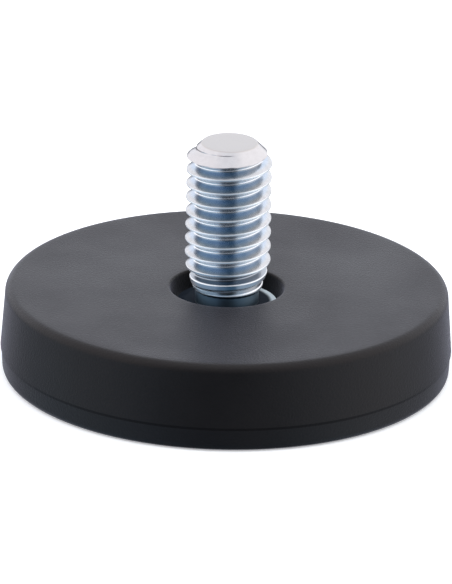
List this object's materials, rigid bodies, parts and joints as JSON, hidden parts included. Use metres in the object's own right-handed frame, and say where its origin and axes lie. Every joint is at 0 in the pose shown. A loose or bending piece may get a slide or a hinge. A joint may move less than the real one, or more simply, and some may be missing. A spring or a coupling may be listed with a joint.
{
  "type": "pot magnet",
  "caption": "Round rubber-coated pot magnet with a zinc-plated threaded stud standing up from a recess in its centre.",
  "frame": {"origin": "centre of the flat magnetic holding face", "axes": "+Z along the stud, away from the holding face; +X through the first magnet"},
  "size_m": [0.031, 0.031, 0.0167],
  "materials": {
    "rubber": "matte moulded",
    "zinc_plating": "bright blue-white zinc plating",
    "plate_steel": "zinc-plated sheet",
    "nickel_plating": "nickel-plated"
  },
  "bodies": {
    "root": {"rubber_jacket": "rubber", "stud": "zinc_plating", "yoke_plate": "plate_steel", "magnet_1": "nickel_plating", "magnet_2": "nickel_plating", "magnet_3": "nickel_plating", "magnet_4": "nickel_plating", "magnet_5": "nickel_plating", "magnet_6": "nickel_plating"}
  },
  "joints": []
}
